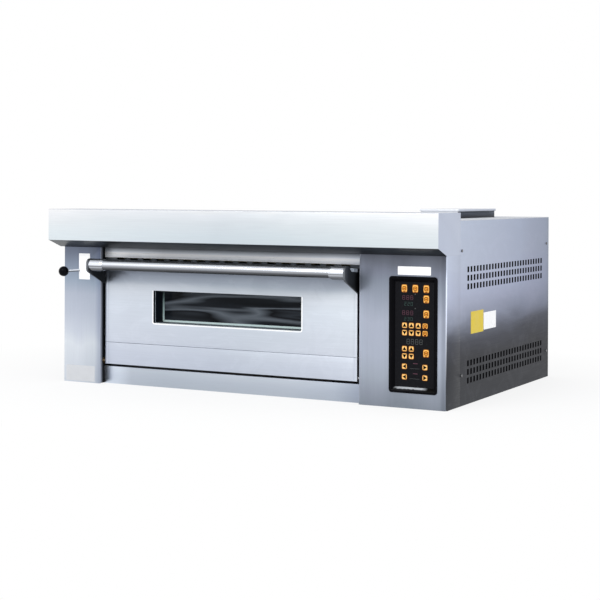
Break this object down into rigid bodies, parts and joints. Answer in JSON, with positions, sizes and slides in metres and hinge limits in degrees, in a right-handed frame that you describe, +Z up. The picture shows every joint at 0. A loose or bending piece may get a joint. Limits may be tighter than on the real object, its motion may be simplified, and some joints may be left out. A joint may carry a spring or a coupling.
{
  "type": "bakery deck oven",
  "caption": "Single-deck bakery oven with drop-down glazed door, bar handle, canopy hood, damper knob and key panel.",
  "frame": {"origin": "centre of the flat underside of the base", "axes": "+X to the oven's right seen from the front, +Y to the back, +Z up; the front faces -Y"},
  "size_m": [1.3482, 1.016, 0.5635],
  "materials": {
    "brushed_stainless": "brushed, fine horizontal grain",
    "galvanised_sheet": "galvanised, satin",
    "chamber_steel": "heat-tinted steel",
    "zinc_screws": "zinc plated",
    "spring_steel": "oiled steel",
    "bush_bronze": "sintered bronze",
    "polished_chrome": "polished",
    "black_moulding": "moulded, slightly textured",
    "panel_gloss": "gloss",
    "key_orange": "moulded, glossy",
    "circuit_board": "solder resist",
    "switch_plastic": "moulded",
    "tinted_glass": "tempered, dark tint",
    "seal_rubber": "silicone seal",
    "hearth_slab": "porous baking stone",
    "mineral_wool": "fibrous",
    "element_steel": "oxidised sheath",
    "lamp_glass": "frosted",
    "boiler_steel": "satin",
    "valve_brass": "machined"
  },
  "bodies": {
    "casing": {"left_side_panel": "brushed_stainless", "right_side_panel": "brushed_stainless", "rear_panel": "brushed_stainless", "top_panel": "brushed_stainless", "left_front_post": "brushed_stainless", "right_front_post": "brushed_stainless", "canopy_hood": "brushed_stainless", "upper_front_rail": "brushed_stainless", "bottom_fascia": "brushed_stainless", "vent_cowl": "brushed_stainless", "base_pan": "galvanised_sheet", "exhaust_duct": "galvanised_sheet", "baking_chamber": "chamber_steel", "panel_screws": "zinc_screws", "door_springs": "spring_steel", "hinge_bushes": "bush_bronze", "control_bezel": "black_moulding", "cable_gland": "black_moulding", "control_fascia": "panel_gloss", "control_board": "circuit_board", "switchgear": "switch_plastic", "hearth_stone": "hearth_slab", "insulation": "mineral_wool", "upper_heating_elements": "element_steel", "lower_heating_elements": "element_steel", "chamber_lamp": "lamp_glass", "steam_generator": "boiler_steel", "water_valve": "valve_brass"},
    "door": {"door_outer_skin": "brushed_stainless", "door_lower_cover": "brushed_stainless", "door_inner_liner": "brushed_stainless", "door_glass_panes": "tinted_glass", "door_gasket": "seal_rubber", "hinge_pins": "spring_steel", "handle_tube": "polished_chrome", "handle_brackets": "black_moulding"},
    "damper": {"damper_rod": "polished_chrome", "damper_knob": "black_moulding"},
    "button_power": {"key_power": "key_orange"},
    "button_program": {"key_program": "key_orange"},
    "button_lamp": {"key_lamp": "key_orange"},
    "button_timer": {"key_timer": "key_orange"},
    "button_steam": {"key_steam": "key_orange"},
    "button_start": {"key_start": "key_orange"},
    "button_up_1": {"key_up_1": "key_orange"},
    "button_up_2": {"key_up_2": "key_orange"},
    "button_up_3": {"key_up_3": "key_orange"},
    "button_up_4": {"key_up_4": "key_orange"},
    "button_down_1": {"key_down_1": "key_orange"},
    "button_down_2": {"key_down_2": "key_orange"},
    "button_down_3": {"key_down_3": "key_orange"},
    "button_down_4": {"key_down_4": "key_orange"},
    "button_fine_up_1": {"key_fine_up_1": "key_orange"},
    "button_fine_up_2": {"key_fine_up_2": "key_orange"},
    "button_fine_down_1": {"key_fine_down_1": "key_orange"},
    "button_fine_down_2": {"key_fine_down_2": "key_orange"},
    "button_upper_left": {"key_upper_left": "key_orange"},
    "button_upper_right": {"key_upper_right": "key_orange"},
    "button_lower_left": {"key_lower_left": "key_orange"},
    "button_lower_right": {"key_lower_right": "key_orange"}
  },
  "joints": [
    {"name": "door_hinge", "type": "hinge", "parent": "casing", "child": "door", "pos_m": [0, -0.428, 0.073], "axis": [1, 0, 0], "range_deg": [0, 90]},
    {"name": "damper_slide", "type": "slide", "parent": "casing", "child": "damper", "axis": [0, 1, 0], "range_m": [0, 0.047]},
    {"name": "press_power", "type": "slide", "parent": "casing", "child": "button_power", "axis": [0, 1, 0], "range_m": [0, 0.0005], "stiffness_N_per_m": 400},
    {"name": "press_program", "type": "slide", "parent": "casing", "child": "button_program", "axis": [0, 1, 0], "range_m": [0, 0.0005], "stiffness_N_per_m": 400},
    {"name": "press_lamp", "type": "slide", "parent": "casing", "child": "button_lamp", "axis": [0, 1, 0], "range_m": [0, 0.0005], "stiffness_N_per_m": 400},
    {"name": "press_timer", "type": "slide", "parent": "casing", "child": "button_timer", "axis": [0, 1, 0], "range_m": [0, 0.0005], "stiffness_N_per_m": 400},
    {"name": "press_steam", "type": "slide", "parent": "casing", "child": "button_steam", "axis": [0, 1, 0], "range_m": [0, 0.0005], "stiffness_N_per_m": 400},
    {"name": "press_start", "type": "slide", "parent": "casing", "child": "button_start", "axis": [0, 1, 0], "range_m": [0, 0.0005], "stiffness_N_per_m": 400},
    {"name": "press_up_1", "type": "slide", "parent": "casing", "child": "button_up_1", "axis": [0, 1, 0], "range_m": [0, 0.0005], "stiffness_N_per_m": 400},
    {"name": "press_up_2", "type": "slide", "parent": "casing", "child": "button_up_2", "axis": [0, 1, 0], "range_m": [0, 0.0005], "stiffness_N_per_m": 400},
    {"name": "press_up_3", "type": "slide", "parent": "casing", "child": "button_up_3", "axis": [0, 1, 0], "range_m": [0, 0.0005], "stiffness_N_per_m": 400},
    {"name": "press_up_4", "type": "slide", "parent": "casing", "child": "button_up_4", "axis": [0, 1, 0], "range_m": [0, 0.0005], "stiffness_N_per_m": 400},
    {"name": "press_down_1", "type": "slide", "parent": "casing", "child": "button_down_1", "axis": [0, 1, 0], "range_m": [0, 0.0005], "stiffness_N_per_m": 400},
    {"name": "press_down_2", "type": "slide", "parent": "casing", "child": "button_down_2", "axis": [0, 1, 0], "range_m": [0, 0.0005], "stiffness_N_per_m": 400},
    {"name": "press_down_3", "type": "slide", "parent": "casing", "child": "button_down_3", "axis": [0, 1, 0], "range_m": [0, 0.0005], "stiffness_N_per_m": 400},
    {"name": "press_down_4", "type": "slide", "parent": "casing", "child": "button_down_4", "axis": [0, 1, 0], "range_m": [0, 0.0005], "stiffness_N_per_m": 400},
    {"name": "press_fine_up_1", "type": "slide", "parent": "casing", "child": "button_fine_up_1", "axis": [0, 1, 0], "range_m": [0, 0.0005], "stiffness_N_per_m": 400},
    {"name": "press_fine_up_2", "type": "slide", "parent": "casing", "child": "button_fine_up_2", "axis": [0, 1, 0], "range_m": [0, 0.0005], "stiffness_N_per_m": 400},
    {"name": "press_fine_down_1", "type": "slide", "parent": "casing", "child": "button_fine_down_1", "axis": [0, 1, 0], "range_m": [0, 0.0005], "stiffness_N_per_m": 400},
    {"name": "press_fine_down_2", "type": "slide", "parent": "casing", "child": "button_fine_down_2", "axis": [0, 1, 0], "range_m": [0, 0.0005], "stiffness_N_per_m": 400},
    {"name": "press_upper_left", "type": "slide", "parent": "casing", "child": "button_upper_left", "axis": [0, 1, 0], "range_m": [0, 0.0005], "stiffness_N_per_m": 400},
    {"name": "press_upper_right", "type": "slide", "parent": "casing", "child": "button_upper_right", "axis": [0, 1, 0], "range_m": [0, 0.0005], "stiffness_N_per_m": 400},
    {"name": "press_lower_left", "type": "slide", "parent": "casing", "child": "button_lower_left", "axis": [0, 1, 0], "range_m": [0, 0.0005], "stiffness_N_per_m": 400},
    {"name": "press_lower_right", "type": "slide", "parent": "casing", "child": "button_lower_right", "axis": [0, 1, 0], "range_m": [0, 0.0005], "stiffness_N_per_m": 400}
  ]
}
